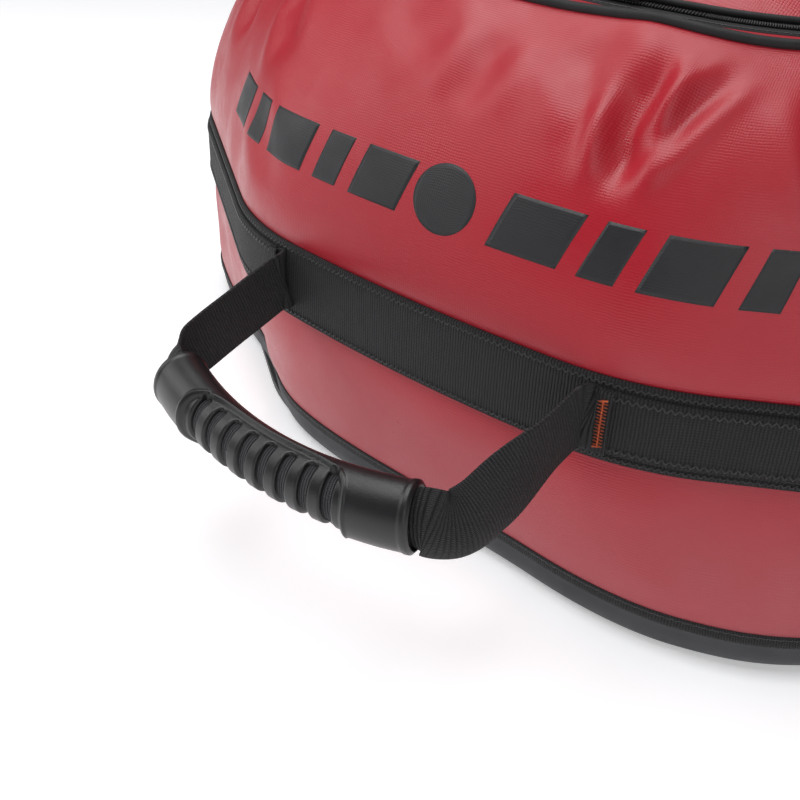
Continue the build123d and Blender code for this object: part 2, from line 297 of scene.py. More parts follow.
def thread(name, lines, radius, material, cyclic=False, sides=1):
    """Stitching or cord: one round curve through each line of points."""
    curve = bpy.data.curves.new(name, "CURVE")
    curve.dimensions = "3D"
    curve.bevel_depth = radius
    curve.bevel_resolution = sides
    curve.use_fill_caps = True
    for line in lines:
        spline = curve.splines.new("POLY")
        spline.points.add(len(line) - 1)
        spline.points.foreach_set("co", np.c_[line, np.ones(len(line))].ravel())
        spline.use_cyclic_u = cyclic
    curve.materials.append(material)
    piece = bpy.data.objects.new(name, curve)
    bpy.context.scene.collection.objects.link(piece)
    return piece


def give_thickness(piece, thickness, lining=None):
    """Turns a sheet into a closed shell that grows inwards, with its own lining."""
    shell = piece.modifiers.new("thickness", "SOLIDIFY")
    shell.thickness = thickness
    shell.offset = -1
    if lining:
        piece.data.materials.append(lining)
        shell.material_offset = 1


def settle(piece, body, slot, *nodes):
    """Puts a finished piece on its body and hides the frame's parts that it replaces; its slot is not used.
    """
    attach(piece, body)
    if nodes:
        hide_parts(*nodes)
    return piece


def turned(points):
    """The same points on the opposite side of the bag."""
    return points * (-1, -1, 1)


# ---------------------------------------------------------------- shader groups

def new_group(name, inputs, outputs):
    """Empty shader group with named sockets."""
    group = bpy.data.node_groups.new(name, "ShaderNodeTree")
    for label, kind, default in inputs:
        socket = group.interface.new_socket(label, in_out="INPUT", socket_type=kind)
        socket.default_value = default
    for label, kind in outputs:
        group.interface.new_socket(label, in_out="OUTPUT", socket_type=kind)
    return group, Nodes(group)


class Nodes:
    """Short calls for adding and joining nodes in one tree."""

    def __init__(self, tree):
        self.tree = tree

    def add(self, kind, settings=None, **inputs):
        node = self.tree.nodes.new("ShaderNode" + kind)
        for key, value in (settings or {}).items():
            setattr(node, key, value)
        for key, value in inputs.items():
            self.feed(node, key.replace("_", " "), value)
        return node

    def feed(self, node, key, value):
        socket = node.inputs[int(key)] if key.isdigit() else node.inputs[key]
        if isinstance(value, bpy.types.NodeSocket):
            self.tree.links.new(value, socket)
        else:
            socket.default_value = value

    def math(self, operation, first, second=0.0):
        node = self.tree.nodes.new("ShaderNodeMath")
        node.operation = operation
        self.feed(node, "0", first)
        self.feed(node, "1", second)
        return node.outputs[0]

    def remap(self, value, low, high, to_low=0.0, to_high=1.0):
        node = self.add("MapRange", {"interpolation_type": "SMOOTHSTEP"}, Value=value)
        for key, number in (("From Min", low), ("From Max", high), ("To Min", to_low), ("To Max", to_high)):
            self.feed(node, key, number)
        return node.outputs["Result"]

    def noise(self, scale, detail=3.0, vector=None, roughness=0.5):
        node = self.add("TexNoise", Scale=scale, Detail=detail, Roughness=roughness)
        self.tree.links.new(vector or self.add("TexCoord").outputs["Object"], node.inputs["Vector"])
        return node.outputs["Fac"]

    def shade(self, color, amount):
        """A colour made lighter or darker by an amount about one."""
        node = self.add("Mix", {"data_type": "RGBA", "blend_type": "MULTIPLY"})
        grey = self.add("CombineColor", Red=amount, Green=amount, Blue=amount)
        node.inputs[0].default_value = 1.0
        self.feed(node, "6", color)
        self.feed(node, "7", grey.outputs["Color"])
        return node.outputs[2]


def scrim_group():
    """Fine square cloth showing through a coating."""
    group, nodes = new_group(
        "Coated Scrim",
        [("Color", "NodeSocketColor", (0.5, 0.5, 0.5, 1)), ("Pitch", "NodeSocketFloat", 0.001),
         ("Mottle", "NodeSocketFloat", 0.1)],
        [("Color", "NodeSocketColor"), ("Height", "NodeSocketFloat"), ("Gloss Break", "NodeSocketFloat")])
    start = nodes.tree.nodes.new("NodeGroupInput")
    end = nodes.tree.nodes.new("NodeGroupOutput")
    lay = nodes.add("SeparateXYZ", Vector=nodes.add("UVMap", {"uv_map": "lay"}).outputs[0])
    wobble = nodes.math("MULTIPLY", nodes.noise(150.0), 0.0016)
    waves_made = []
    for axis in (0, 1):
        place = nodes.math("ADD", lay.outputs[axis], wobble)
        turn = nodes.math("DIVIDE", place, start.outputs["Pitch"])
        waves_made.append(nodes.math("ABSOLUTE", nodes.math("SINE", nodes.math("MULTIPLY", turn, math.pi))))
    across = nodes.math("MULTIPLY", waves_made[0], 0.7)
    weave = nodes.math("ADD", across, nodes.math("MULTIPLY", waves_made[1], 1.0))
    patch = nodes.remap(nodes.noise(9.0, 4.0), 0.3, 0.7)
    weave = nodes.math("MULTIPLY", weave, nodes.math("ADD", nodes.math("MULTIPLY", patch, 0.6), 0.55))
    grain = nodes.noise(2200.0, 2.0)
    height = nodes.math("ADD", weave, nodes.math("MULTIPLY", grain, 0.35))
    cloud = nodes.math("SUBTRACT", nodes.noise(14.0, 4.0), 0.5)
    tint = nodes.math("ADD", nodes.math("MULTIPLY", cloud, start.outputs["Mottle"]), 0.96)
    tint = nodes.math("ADD", tint, nodes.math("MULTIPLY", weave, 0.02))
    nodes.tree.links.new(nodes.shade(start.outputs["Color"], tint), end.inputs["Color"])
    nodes.tree.links.new(height, end.inputs["Height"])
    smear = nodes.math("ADD", nodes.noise(26.0, 5.0, roughness=0.65), nodes.math("MULTIPLY", grain, 0.15))
    nodes.tree.links.new(smear, end.inputs["Gloss Break"])
    return group


def webbing_group():
    """Woven ribs that run across a strip, each crossed by fine floating yarns, with painted highlights on the
    ribs and painted shade in the grooves.
    """
    group, nodes = new_group(
        "Webbing Ribs",
        [("Color", "NodeSocketColor", (0.02, 0.02, 0.02, 1)), ("Rib Pitch", "NodeSocketFloat", 0.0015),
         ("Yarn Pitch", "NodeSocketFloat", 0.0008), ("Depth", "NodeSocketFloat", 1.0)],
        [("Color", "NodeSocketColor"), ("Height", "NodeSocketFloat"), ("Fuzz", "NodeSocketFloat")])
    start = nodes.tree.nodes.new("NodeGroupInput")
    end = nodes.tree.nodes.new("NodeGroupOutput")
    lay = nodes.add("SeparateXYZ", Vector=nodes.add("UVMap", {"uv_map": "lay"}).outputs[0])
    waver = nodes.math("MULTIPLY", nodes.noise(140.0, 2.0), 0.0007)
    along = nodes.math("DIVIDE", nodes.math("ADD", lay.outputs[0], waver), start.outputs["Rib Pitch"])
    rib = nodes.math("ABSOLUTE", nodes.math("SINE", nodes.math("MULTIPLY", along, math.pi)))
    rib = nodes.math("POWER", rib, 0.6)
    odd = nodes.math("MULTIPLY", nodes.math("FLOOR", along), 0.5)
    across = nodes.math("ADD", nodes.math("DIVIDE", lay.outputs[1], start.outputs["Yarn Pitch"]), odd)
    yarn = nodes.math("ABSOLUTE", nodes.math("SINE", nodes.math("MULTIPLY", across, math.pi)))
    height = nodes.math("ADD", rib, nodes.math("MULTIPLY", nodes.math("MULTIPLY", yarn, rib), 0.9))
    fibre = nodes.noise(3000.0, 2.0)
    height = nodes.math("ADD", height, nodes.math("MULTIPLY", fibre, 0.25))
    height = nodes.math("MULTIPLY", height, start.outputs["Depth"])
    worn = nodes.math("MULTIPLY", nodes.math("SUBTRACT", nodes.noise(35.0, 4.0), 0.5), 0.5)
    # Painted light: the colour is lighter on the rib tops and on the yarns floating over them, a painted
    # highlight, and darker in the grooves between ribs, a painted shade; the worn term adds random patches of
    # tone.
    lit = nodes.math("ADD", nodes.remap(rib, 0.25, 1.0, 0.15, 0.95), worn)
    lit = nodes.math("ADD", lit, nodes.math("MULTIPLY", nodes.math("MULTIPLY", yarn, rib), 0.8))
    nodes.tree.links.new(nodes.shade(start.outputs["Color"], lit), end.inputs["Color"])
    nodes.tree.links.new(height, end.inputs["Height"])
    nodes.tree.links.new(fibre, end.inputs["Fuzz"])
    return group


def moulding_group():
    """Spark-eroded mould grain with faint scuffs."""
    group, nodes = new_group(
        "Moulded Grain",
        [("Color", "NodeSocketColor", (0.02, 0.02, 0.02, 1)), ("Grain Size", "NodeSocketFloat", 1800.0),
         ("Scuffs", "NodeSocketFloat", 0.3)],
        [("Color", "NodeSocketColor"), ("Height", "NodeSocketFloat"), ("Gloss Break", "NodeSocketFloat")])
    start = nodes.tree.nodes.new("NodeGroupInput")
    end = nodes.tree.nodes.new("NodeGroupOutput")
    grain = nodes.noise(start.outputs["Grain Size"], 3.0, roughness=0.7)
    scuff = nodes.remap(nodes.noise(70.0, 6.0, roughness=0.75), 0.52, 0.72)
    scuff = nodes.math("MULTIPLY", scuff, start.outputs["Scuffs"])
    lit = nodes.math("ADD", nodes.math("MULTIPLY", grain, 0.25), nodes.math("ADD", scuff, 0.85))
    nodes.tree.links.new(nodes.shade(start.outputs["Color"], lit), end.inputs["Color"])
    nodes.tree.links.new(grain, end.inputs["Height"])
    nodes.tree.links.new(nodes.math("ADD", nodes.math("MULTIPLY", grain, 0.5), scuff),
                         end.inputs["Gloss Break"])
    return group


def new_material(name, roughness, specular=0.5, metallic=0.0):
    """Material with one Principled node; returns it, its nodes and that node."""
    material = bpy.data.materials.new(name)
    material.use_nodes = True
    nodes = Nodes(material.node_tree)
    shader = material.node_tree.nodes["Principled BSDF"]
    shader.inputs["Roughness"].default_value = roughness
    shader.inputs["Specular IOR Level"].default_value = specular
    shader.inputs["Metallic"].default_value = metallic
    return material, nodes, shader


def place_group(nodes, group, color, **values):
    """Puts a shared effect in a material with its own colour and values."""
    node = nodes.tree.nodes.new("ShaderNodeGroup")
    node.node_tree = group
    node.inputs["Color"].default_value = (*color, 1)
    for key, value in values.items():
        node.inputs[key.replace("_", " ")].default_value = value
    return node


def add_bump(nodes, shader, height, distance, strength=1.0):
    """Feeds a height to the shader as a bump."""
    bump = nodes.add("Bump", Height=height, Distance=distance, Strength=strength)
    nodes.tree.links.new(bump.outputs["Normal"], shader.inputs["Normal"])


def coated_fabric(name, color, roughness, mottle=0.14, depth=0.06 * MM, pitch=1.2 * MM, painted_reflection_share=0.0):
    """Coated cloth; its last argument is the share of painted reflection of the pale floor, a pale colour
    mixed into the cloth from the band down to the base.
    """
    material, nodes, shader = new_material(name, roughness)
    scrim = place_group(nodes, GROUPS["scrim"], color, Pitch=pitch, Mottle=mottle)
    base = scrim.outputs["Color"]
    if painted_reflection_share:
        # Painted reflection: the colour turns paler from the band's middle down to the base, where the pale
        # floor would reflect.
        level = nodes.add("SeparateXYZ", Vector=nodes.add("TexCoord").outputs["Object"]).outputs[2]
        reflection_mix = nodes.add("Mix", {"data_type": "RGBA"})
        nodes.feed(reflection_mix, "0", nodes.remap(level, BAND_MID, BASE_TOP, 0.0, painted_reflection_share))
        nodes.feed(reflection_mix, "6", base)
        nodes.feed(reflection_mix, "7", PAINTED_REFLECTION_COLOR)
        base = reflection_mix.outputs[2]
    nodes.tree.links.new(base, shader.inputs["Base Color"])
    rough = nodes.remap(scrim.outputs["Gloss Break"], 0.35, 0.75, roughness - 0.06, roughness + 0.12)
    nodes.tree.links.new(rough, shader.inputs["Roughness"])
    add_bump(nodes, shader, scrim.outputs["Height"], depth)
    return material


def webbing(name, color, rib_pitch, depth=0.5 * MM):
    """Ribbed woven strip with dull yarn."""
    material, nodes, shader = new_material(name, 0.6, 0.3)
    ribs = place_group(nodes, GROUPS["webbing"], color, Rib_Pitch=rib_pitch, Yarn_Pitch=0.75 * MM)
    nodes.tree.links.new(ribs.outputs["Color"], shader.inputs["Base Color"])
    nodes.tree.links.new(nodes.remap(ribs.outputs["Fuzz"], 0.2, 0.8, 0.5, 0.75), shader.inputs["Roughness"])
    shader.inputs["Sheen Weight"].default_value = 0.05
    add_bump(nodes, shader, ribs.outputs["Height"], depth)
    return material


def moulded(name, color, roughness, scuffs=0.25, depth=0.06 * MM, metallic=0.0):
    """Grained moulding, also used for the board and the coated metal."""
    material, nodes, shader = new_material(name, roughness, 0.5, metallic)
    grain = place_group(nodes, GROUPS["moulding"], color, Scuffs=scuffs)
    nodes.tree.links.new(grain.outputs["Color"], shader.inputs["Base Color"])
    rough = nodes.remap(grain.outputs["Gloss Break"], 0.1, 0.7, roughness - 0.05, roughness + 0.12)
    nodes.tree.links.new(rough, shader.inputs["Roughness"])
    add_bump(nodes, shader, grain.outputs["Height"], depth)
    return material


def twisted_thread(name, color):
    """Bonded thread: fine ply lines and a slight sheen."""
    material, nodes, shader = new_material(name, 0.45)
    ply = nodes.noise(2600.0, 2.0)
    tint = nodes.shade((*color, 1), nodes.remap(ply, 0.3, 0.7, 0.7, 1.25))
    nodes.tree.links.new(tint, shader.inputs["Base Color"])
    shader.inputs["Sheen Weight"].default_value = 0.2
    add_bump(nodes, shader, ply, 0.1 * MM)
    return material


# Pale colour of the painted floor reflection on the lower walls.
PAINTED_REFLECTION_COLOR = (0.75, 0.7, 0.72, 1)
GROUPS = {}
MATERIALS = {}


def make_materials(settings):
    """Every finish of the bag, from the user's colours."""
    GROUPS.update(scrim=scrim_group(), webbing=webbing_group(), moulding=moulding_group())
    red, black = tuple(settings.wall_color), tuple(settings.base_color)
    yarn = tuple(settings.webbing_color)
    MATERIALS.update(
        # The walls carry up to 8.5 per cent of painted floor reflection towards the base.
        red=coated_fabric("Red Coated Fabric", red, 0.33, painted_reflection_share=0.085),
        black=coated_fabric("Black Coated Fabric", black, 0.5, 0.3, 0.06 * MM),
        lining=coated_fabric("Grey Fabric Backing", (0.11, 0.11, 0.115), 0.7, 0.3, 0.16 * MM),
        print=coated_fabric("Black Screen Print", (0.013, 0.013, 0.015), 0.46, 0.3),
        band=webbing("Band Webbing", yarn, settings.band_rib),
        strap=webbing("Strap Webbing", yarn, settings.strap_rib, 0.5 * MM),
        # The core is the straps' webbing painted 3.2 times lighter, a lit copy that stands against the shade
        # inside the grip.
        core=webbing("Handle Core Webbing Painted Lighter", tuple(3.2 * part for part in yarn), 1.25 * MM, 0.7 * MM),
        binding=webbing("Seam Binding", yarn, 1.1 * MM, 0.25 * MM),
        zip_tape=webbing("Zip Tape", yarn, 0.9 * MM, 0.15 * MM),
        dark_thread=twisted_thread("Black Thread", (0.016, 0.016, 0.018)),
        bright_thread=twisted_thread("Orange Thread", tuple(settings.bartack_color)),
        grip=moulded("Grip Moulding", tuple(settings.grip_color), 0.33, 0.15, 0.11 * MM),
        coil=moulded("Zip Coil Nylon", (0.02, 0.02, 0.022), 0.35, 0.1),
        board=moulded("Base Board", (0.05, 0.05, 0.052), 0.6, 0.6),
        metal=moulded("Blackened Slider Metal", (0.06, 0.06, 0.065), 0.32, 0.5, 0.02 * MM, 0.8),
    )


# ---------------------------------------------------------------- settings

def size_setting(label, words, default, low=0.0, high=0.5):
    return bpy.props.FloatProperty(name=label, description=words, default=default, min=low, max=high,
                                   unit="LENGTH", precision=5)


def color_setting(label, words, default):
    return bpy.props.FloatVectorProperty(name=label, description=words, default=default, subtype="COLOR",
                                         size=3, min=0.0, max=1.0)


class KitBagSettings(bpy.types.PropertyGroup):
    """Colours and surface sizes of the bag."""

    wall_color: color_setting("Wall", "Coated fabric of the walls and lid", (0.40, 0.010, 0.022))
    base_color: color_setting("Base", "Coated fabric of the base", (0.030, 0.031, 0.036))
    webbing_color: color_setting("Webbing", "Yarn of the band and straps", (0.015, 0.015, 0.0165))
    grip_color: color_setting("Grip", "Moulded plastic of the grips", (0.011, 0.011, 0.012))
    bartack_color: color_setting("Bartack", "Thread of the stitched bars", (0.62, 0.10, 0.022))
    band_rib: size_setting("Band Rib", "Distance between ribs of the wide band", 1.45 * MM)
    strap_rib: size_setting("Strap Rib", "Distance between ribs of the narrow webbing", 1.5 * MM)
    stitch: size_setting("Stitch", "Length of one zigzag of edge stitching", 3.0 * MM)
    base_slack: size_setting("Base Slack", "How far the soft base stands out of line", 26 * MM)
    puff: size_setting("Puff", "How far fabric swells beside the band", 1.5 * MM)
    fold_share: bpy.props.FloatProperty(name="Folds", description="Depth of the fabric's folds", default=1.0,
                                        min=0.0, max=1.5, subtype="FACTOR")


class KitBagHandleSettings(bpy.types.PropertyGroup):
    """Shape of the grips and the webbing that carries them."""

    slots: bpy.props.IntProperty(name="Slots", description="Slots across each grip", default=8, min=0, max=12)
    slot_width: size_setting("Slot Width", "Width of each slot", 5.0 * MM)
    slot_depth: size_setting("Slot Depth", "Depth of each slot", 5.0 * MM)
    field_depth: size_setting("Field Depth", "Depth of the slotted field below the collars", 2.0 * MM)
    roll: bpy.props.FloatProperty(name="Roll", description="How far the slotted field is turned upwards",
                                  default=math.radians(26), subtype="ANGLE", unit="ROTATION")
    curl: bpy.props.FloatProperty(name="Curl", description="How far the webbing rolls up at the grip",
                                  default=math.radians(110), subtype="ANGLE", unit="ROTATION")


class KitBagStageSettings(bpy.types.PropertyGroup):
    """Floor, light and camera."""

    floor_color: color_setting("Floor", "Colour of the floor", (0.9, 0.9, 0.92))
    floor_glow: bpy.props.FloatProperty(name="Floor Glow", description="Light given off by the floor",
                                        default=0.32, min=0.0, max=1.0)
    lens: bpy.props.FloatProperty(name="Lens", description="Focal length of the camera", default=48.8,
                                  unit="CAMERA")
    key_power: bpy.props.FloatProperty(name="Key Light", description="Power of the main soft light",
                                       default=19.0, unit="POWER")


# ---------------------------------------------------------------- base

def base_profile():
    """Inset and height of the tray's section, from its rim down and in over the floor."""
    edge_r = 11 * MM
    rim = [(0.0, BASE_TOP + 1.5 * MM), (0.0, BASE_TOP - 3 * MM), (0.0, edge_r + 2 * MM)]
    rolled = [(edge_r * (1 - math.cos(turn)), edge_r * (1 - math.sin(turn)))
              for turn in np.linspace(0, math.pi / 2, 9)]
    return rim + rolled


def build_base():
    """Black tray with a rolled edge, soft dents and a flat floor."""
    along = np.linspace(0, ROUND, 520, endpoint=False)
    profile = base_profile()
    shift = base_shift(along)
    section = [np.stack((*outline(WALL, along, inset - shift), np.full_like(along, z)), -1)
               for inset, z in profile]
    floor_edge = section[-1]
    section += [floor_edge * (share, share, 1) for share in (0.9, 0.7, 0.45, 0.2, 0.02)]
    points = np.stack(section, 1)
    centre = points.mean((0, 1))
    outward = unit((points - centre) * (1, 1, 0.0))
    rise = step(points[..., 2], 0.5 * MM, 8 * MM) * (1 - step(points[..., 2], BASE_TOP - 4 * MM, BASE_TOP))
    dents = (waves(points, 95 * MM, 21) * 1.6 + waves(points, 34 * MM, 22) * 0.5) * MM
    points = points + outward * (rise * (dents - 0.6 * MM))[..., None]
    lay_v = np.concatenate((lengths(points[0]), [0]))
    tray = grid_object("base_tray", points, np.linspace(0, ROUND, len(along) + 1), lay_v,
                       MATERIALS["black"], wrap_u=True)
    shell = tray.modifiers.new("thickness", "SOLIDIFY")
    shell.thickness = 1.4 * MM
    shell.offset = 1
    settle(tray, "bag", "black_fabric", "base_panel")


def ring_strip(name, low, high, lift, thick, material, spans=((0.0, 1.0),), pucker=0.0, count=1100):
    """Flat webbing laid round the wall between two heights, with rounded edges."""
    made = []
    for begin, finish in spans:
        whole = finish - begin >= 1
        along = np.linspace(begin * ROUND, finish * ROUND, int(count * (finish - begin)), endpoint=not whole)
        edge = min(3 * MM, 0.35 * (high - low))
        heights = [low, low, low + 0.2 * edge, low + edge]
        heights += list(np.linspace(low + 6 * MM, high - 6 * MM, 5)) if high - low > 14 * MM else []
        heights += [high - edge, high - 0.2 * edge, high, high]
        lifts = [0, 0.55, 1, 1 - pucker] + [1] * (len(heights) - 8) + [1 - pucker, 1, 0.55, 0]
        outer = [wall_point(along, z, lift + share * thick) for z, share in zip(heights, lifts)]
        inner = [wall_point(along, z, lift) for z in (heights[-3], (low + high) / 2, heights[2])]
        points = np.stack(outer + inner, 1)
        across = np.array(heights + [heights[-3], (low + high) / 2, heights[2], low])
        lay_u = np.concatenate((along, [finish * ROUND]))
        made.append(grid_object(name, points, lay_u, across, material, wrap_u=whole, wrap_v=True))
        if not whole:
            close_ends(made[-1], *points.shape[:2])
    return made


def close_ends(piece, count_u, count_v):
    """Caps the two open ends of a tube made by grid_object."""
    mesh = piece.data
    faces = [tuple(face.vertices) for face in mesh.polygons]
    lay = np.zeros(len(mesh.loops) * 2, np.float32)
    mesh.uv_layers["lay"].data.foreach_get("uv", lay)
    points = [tuple(vertex.co) for vertex in mesh.vertices]
    first = tuple(range(count_v - 1, -1, -1))
    last = tuple((count_u - 1) * count_v + j for j in range(count_v))
    fresh = bpy.data.meshes.new(mesh.name)
    fresh.from_pydata(points, [], [*faces, first, last])
    padding = np.full((2 * count_v, 2), lay[:2])
    fresh.uv_layers.new(name="lay").data.foreach_set("uv", np.concatenate((lay, padding.ravel())))
    fresh.shade_smooth()
    for material in mesh.materials:
        fresh.materials.append(material)
    piece.data = fresh
    bpy.data.meshes.remove(mesh)


def zigzag(begin, finish, height, lift, width, pitch):
    """Lock-stitch zigzag round the wall at one height."""
    count = int((finish - begin) / pitch * 2)
    along = np.linspace(begin, finish, count * 2)
    phase = np.arange(count * 2) % 4
    offset = np.array((0, 0.5, 0, -0.5))[phase] * width
    sink = np.array((0.0, 0.1, 0.0, 0.1))[phase] * MM
    return wall_point(along, height + offset, lift - sink)


def build_binding():
    """Folded tape over the seam between base and wall, with its stitching."""
    piece = ring_strip("base_binding_tape", BASE_TOP - 2.4 * MM, BASE_TOP + 2.4 * MM, 0.1 * MM, 0.7 * MM,
                       MATERIALS["binding"])[0]
    settle(piece, "bag", "webbing", "base_binding")
    seam = zigzag(0, ROUND, BASE_TOP + 1.2 * MM, 0.8 * MM, 0.3 * MM, 3.2 * MM)
    settle(thread("base_binding_stitches", [seam], 0.28 * MM, MATERIALS["dark_thread"], cyclic=True),
           "bag", "thread")


# ---------------------------------------------------------------- walls and print

def build_walls():
    """One sheet from the base seam up to the deck, lined inside."""
    along = np.linspace(0, ROUND, 620, endpoint=False)
    top = BAND_TOP + LEAN_R * LEAN_ANGLE
    height = np.concatenate((np.linspace(BASE_TOP - 1 * MM, BAND_LOW, 22), (BAND_MID, BAND_TOP),
                             np.linspace(BAND_TOP + 2 * MM, top, 62)))
    points = wall_point(*np.meshgrid(along, height, indexing="ij"))
    walls = grid_object("fabric_walls", points, np.linspace(0, ROUND, len(along) + 1), height,
                        MATERIALS["red"], wrap_u=True)
    give_thickness(walls, FABRIC, MATERIALS["lining"])
    settle(walls, "bag", "red_fabric", "side_wall", "upper_wall")


def print_block(left, bottom, width, tall, slant, rounded):
    """Grid over one printed bar: a slanted bar, or a disc where rounded."""
    u, v = np.meshgrid(np.linspace(-1, 1, 15), np.linspace(-1, 1, 15), indexing="ij")
    if rounded:
        squeeze = np.sqrt(np.clip(1 - v**2 / 2, 0, None)), np.sqrt(np.clip(1 - u**2 / 2, 0, None))
        u, v = u * squeeze[0], v * squeeze[1]
    along = left + width * (u + 1) / 2 + slant * (v + 1) / 2
    return along, bottom + tall * (v + 1) / 2


# Printed bars, in millimetres: left edge, width, height.
PRINT_BARS = [(-176, 30, 24), (-137, 16, 24), (-112, 34, 24), (-69, 16, 24), (-44, 30, 24), (36, 34, 24),
              (79, 16, 24), (104, 30, 24), (143, 16, 24), (168, 22, 24)]
PRINT_BOTTOM = BAND_TOP + 37 * MM
PRINT_SLANT = 7 * MM
DISC = (-6, 33)


def build_print():
    """Row of slanted bars and a disc printed on the upper wall, on both long sides."""
    for side, start in (("front", 0.0), ("rear", ROUND / 2)):
        blocks = [print_block(x * MM, PRINT_BOTTOM, wide * MM, tall * MM, PRINT_SLANT, False)
                  for x, wide, tall in PRINT_BARS]
        blocks.append(print_block(DISC[0] * MM, PRINT_BOTTOM - 3 * MM, DISC[1] * MM, DISC[1] * 0.92 * MM,
                                  0.0, True))
        sheets = []
        for index, (along, height) in enumerate(blocks):
            points = wall_point(start + along, height, 0.07 * MM)
            sheet = grid_object(f"{side}_print_{index}", points, along[:, 7], height[7],
                                MATERIALS["print"])
            give_thickness(sheet, 0.04 * MM)
            settle(sheet, "bag", "black_fabric")
            sheets.append(sheet)


# ---------------------------------------------------------------- band and straps

STRAP_START = 97 * MM


def build_band():
    """Wide webbing sewn round the walls, stitched along both edges."""
    settings = bpy.context.scene.kit_bag
    band = ring_strip("wall_band_webbing", BAND_LOW, BAND_TOP, 0.0, BAND_THICK, MATERIALS["band"],
                      pucker=0.14, count=1500)[0]
    settle(band, "bag", "webbing", "wall_band")
    lines = [zigzag(0, ROUND, z, BAND_THICK + 0.05 * MM, 1.5 * MM, settings.stitch)
             for z in (BAND_LOW + 2.6 * MM, BAND_TOP - 2.6 * MM)]
    settle(thread("band_stitches", lines, 0.3 * MM, MATERIALS["dark_thread"], cyclic=True), "bag", "thread")


def build_straps():
    """Narrower webbing on the band round each end, where the handles' webbing is sewn down."""
    settings = bpy.context.scene.kit_bag
    half = ROUND / 2
    for name, begin, finish in (("right", STRAP_START, half - STRAP_START + 7 * MM),
                                ("left", half + STRAP_START, ROUND - STRAP_START + 7 * MM)):
        span = ((begin / ROUND, finish / ROUND),)
        strap = ring_strip(name + "_strap_webbing", STRAP_LOW, STRAP_HIGH, BAND_THICK, STRAP_THICK,
                           MATERIALS["strap"], span, pucker=0.16, count=1500)[0]
        settle(strap, "bag", "webbing", name + "_strap")
        lift = BAND_THICK + STRAP_THICK + 0.05 * MM
        lines = [zigzag(begin + 3 * MM, finish - 3 * MM, z, lift, 2.0 * MM, settings.stitch * 1.1)
                 for z in (STRAP_LOW + 2.8 * MM, STRAP_HIGH - 2.8 * MM)]
        settle(thread(name + "_strap_stitches", lines, 0.34 * MM, MATERIALS["dark_thread"]), "bag", "thread")


def build_bartacks():
    """Upright bars of close orange zigzag beside each handle's folds."""
    lift = BAND_THICK + 2 * STRAP_THICK + 0.35 * MM
    for side, start in (("front", 0.0), ("rear", ROUND / 2)):
        lines = []
        for place, high in ((-LEFT_BARTACK, 5.0 * MM), (RIGHT_BARTACK, 11.5 * MM)):
            rows = np.linspace(BAND_MID - 11.5 * MM, BAND_MID + high, int((high + 11.5 * MM) / (0.75 * MM)))
            swing = np.where(np.arange(len(rows)) % 2, 1.9, -1.9) * MM
            lines.append(wall_point(start + place + swing, rows, lift))
            edge = np.linspace(BAND_MID - 11.5 * MM, BAND_MID + high, 12)
            lines.append(wall_point(np.full(len(edge), start + place), edge, lift - 0.2 * MM))
        bars = thread(side + "_bartack_stitches", lines, 0.42 * MM, MATERIALS["bright_thread"])
        settle(bars, "bag", "thread", side + "_bartacks")


# ---------------------------------------------------------------- handles

def handle_place(points):
    """Moves points from the handle's plane, with its pivot at the origin, to where it rests."""
    y = PIVOT_Y + points[..., 1] * math.cos(DROOP) - points[..., 2] * math.sin(DROOP)
    z = BAND_MID + points[..., 1] * math.sin(DROOP) + points[..., 2] * math.cos(DROOP)
    return np.stack((points[..., 0], y, z), -1)


def grip_bend(run, outward, upward):
    """Point of the grip at a length along its bowed centre line."""
    turn = run / GRIP_R
    reach = GRIP_R + outward
    centre_y = GRIP_R - GRIP_END_REACH - GRIP_BOW
    return np.stack((reach * np.sin(turn), centre_y - reach * np.cos(turn), upward), -1)


def rolled(run, turn, half_depth, half_height, settings):
    """Oval section on the grip's centre line, rolled so that its slotted side looks up."""
    outward, upward = half_depth * np.cos(turn), half_height * np.sin(turn)
    lean_cos, lean_sin = math.cos(settings.roll), math.sin(settings.roll)
    return grip_bend(run, outward * lean_cos - upward * lean_sin, upward * lean_cos + outward * lean_sin)


def grip_sizes(run):
    """Half depth and half height of the grip's outside, with its rolled lips."""
    off = np.abs(run)
    lip = step(off, GRIP_HALF - 4.2 * MM, GRIP_HALF - 3.0 * MM) * 0.45 * MM
    tuck = step(off, GRIP_HALF - 1.8 * MM, GRIP_HALF) ** 2 * 1.5 * MM
    waist = np.cos(np.clip(off / (60 * MM), 0, 1) * math.pi / 2) * 0.5 * MM
    return 12.5 * MM + lip - tuck - waist, 15.0 * MM + lip - tuck - waist


def grip_field(run, turn, settings):
    """Depth cut below the collars' surface by the field and its slots, and the rim's rise."""
    side = (turn + FIELD_TURN + math.pi) % (2 * math.pi) - math.pi
    place = ((np.abs(run) / FIELD_HALF) ** 3.6 + (np.abs(side) / FIELD_REACH) ** 3.6) ** (1 / 3.6)
    field = (1 - step(place, 0.925, 0.965)) * settings.field_depth
    rim = np.exp(-(((place - 0.985) / 0.016) ** 2)) * 0.55 * MM
    count = settings.slots
    nearest = (np.abs(run / SLOT_PITCH + count / 2 - np.floor(run / SLOT_PITCH + count / 2) - 0.5)
               * SLOT_PITCH)
    beyond = np.clip(np.abs(side) - SLOT_REACH, 0, None) * 12 * MM
    away = np.hypot(nearest, beyond) + 1.0 * (np.abs(run) > count * SLOT_PITCH / 2)
    half = settings.slot_width / 2
    cut = (1 - step(away, half - 0.3 * MM, half + 0.15 * MM)) * settings.slot_depth
    shoulder = (1 - step(away, half, half + 1.0 * MM)) * 0.4 * MM
    return field + cut + shoulder, rim


